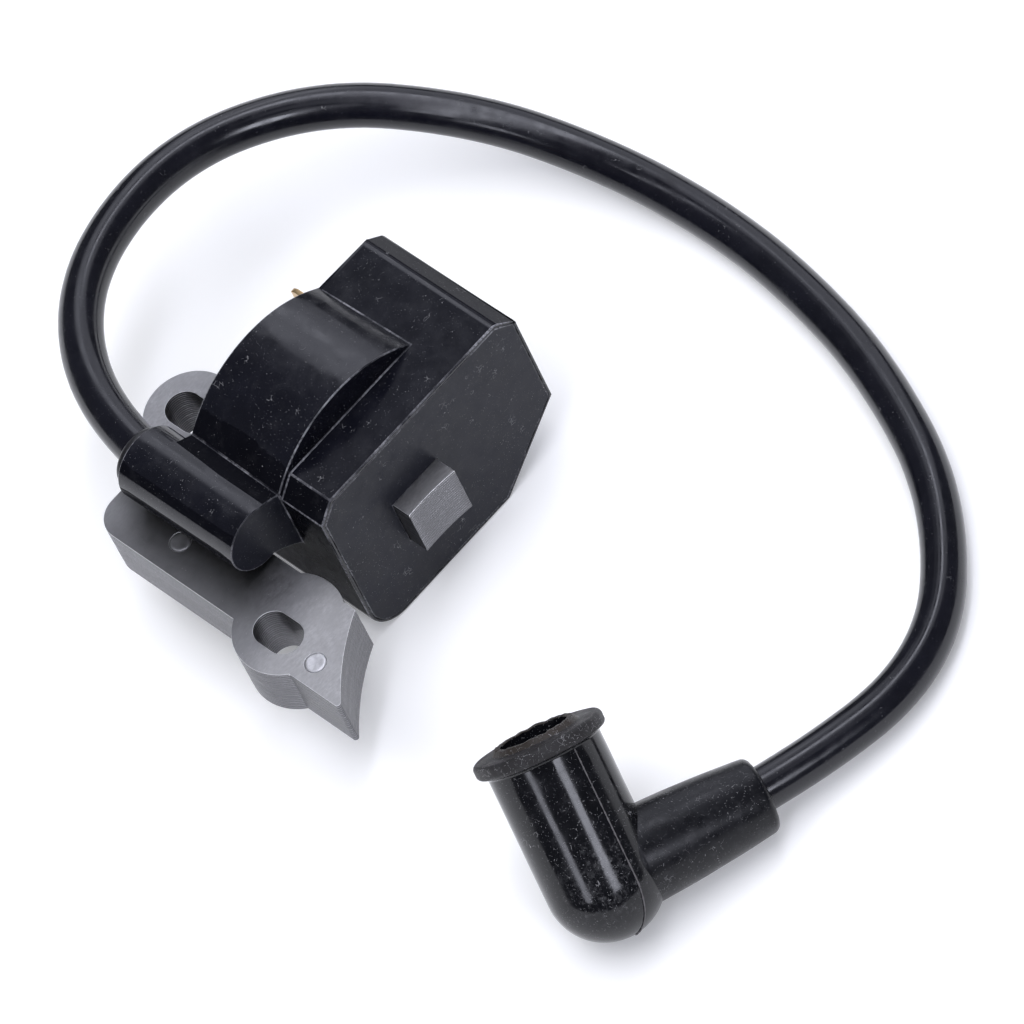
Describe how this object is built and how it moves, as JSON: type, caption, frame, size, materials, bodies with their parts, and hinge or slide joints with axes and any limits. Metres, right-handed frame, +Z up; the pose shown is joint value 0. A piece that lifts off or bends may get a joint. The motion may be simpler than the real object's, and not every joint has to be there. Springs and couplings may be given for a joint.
{
  "type": "ignition coil",
  "caption": "Ignition coil module of a small engine: potted coil on a riveted laminated core, with a spark plug lead that ends in an elbow boot.",
  "frame": {"origin": "on the case's flat bottom face, below the middle of the core's coil leg and at half the case's depth", "axes": "+Z up from the surface that the part lies on, along the fixing bolts; -Y towards the flywheel, along the core's legs; +X from the core's bar to the far side of the case"},
  "size_m": [0.1096, 0.1559, 0.0401],
  "materials": {
    "core": "satin silicon-steel sheets, oiled, with sheared edges",
    "rivet": "bright peened steel",
    "case": "glossy black moulded plastic, lightly scuffed and dusty",
    "cover": "satin black potted face, dusty",
    "bobbin": "natural moulded plastic",
    "copper_wire": "enamelled copper",
    "board": "glass-epoxy board",
    "capacitor": "dipped film capacitor",
    "component_body": "moulded component body",
    "blade": "bare brass",
    "tinned_wire": "tinned",
    "seal": "black rubber with a torn lip",
    "boot_rubber": "glossy black moulded rubber, dusty",
    "spring_steel": "plated spring wire",
    "lead_jacket": "smooth semi-gloss black jacket, dusty",
    "resin": "black casting resin"
  },
  "bodies": {
    "root": {"core_stack": "core", "top_lamination": "core", "bottom_lamination": "core", "foot_rivet": "rivet", "bar_rivet": "rivet", "yoke_rivet": "rivet", "case_shell": "case", "front_cover": "cover", "primary_bobbin": "bobbin", "secondary_bobbin": "bobbin", "primary_winding": "copper_wire", "trigger_winding": "copper_wire", "secondary_winding": "copper_wire", "circuit_board": "board", "discharge_capacitor": "capacitor", "thyristor": "component_body", "charge_diode": "component_body", "clamp_diode": "component_body", "gate_resistor": "component_body", "kill_blade": "blade", "kill_wire": "tinned_wire", "ground_strap": "tinned_wire", "output_link": "tinned_wire", "output_pin": "blade", "lead_seal": "seal", "boot": "boot_rubber", "boot_contact": "blade", "plug_spring": "spring_steel", "lead_jacket": "lead_jacket", "lead_conductor": "copper_wire", "potting_resin": "resin"}
  },
  "joints": []
}
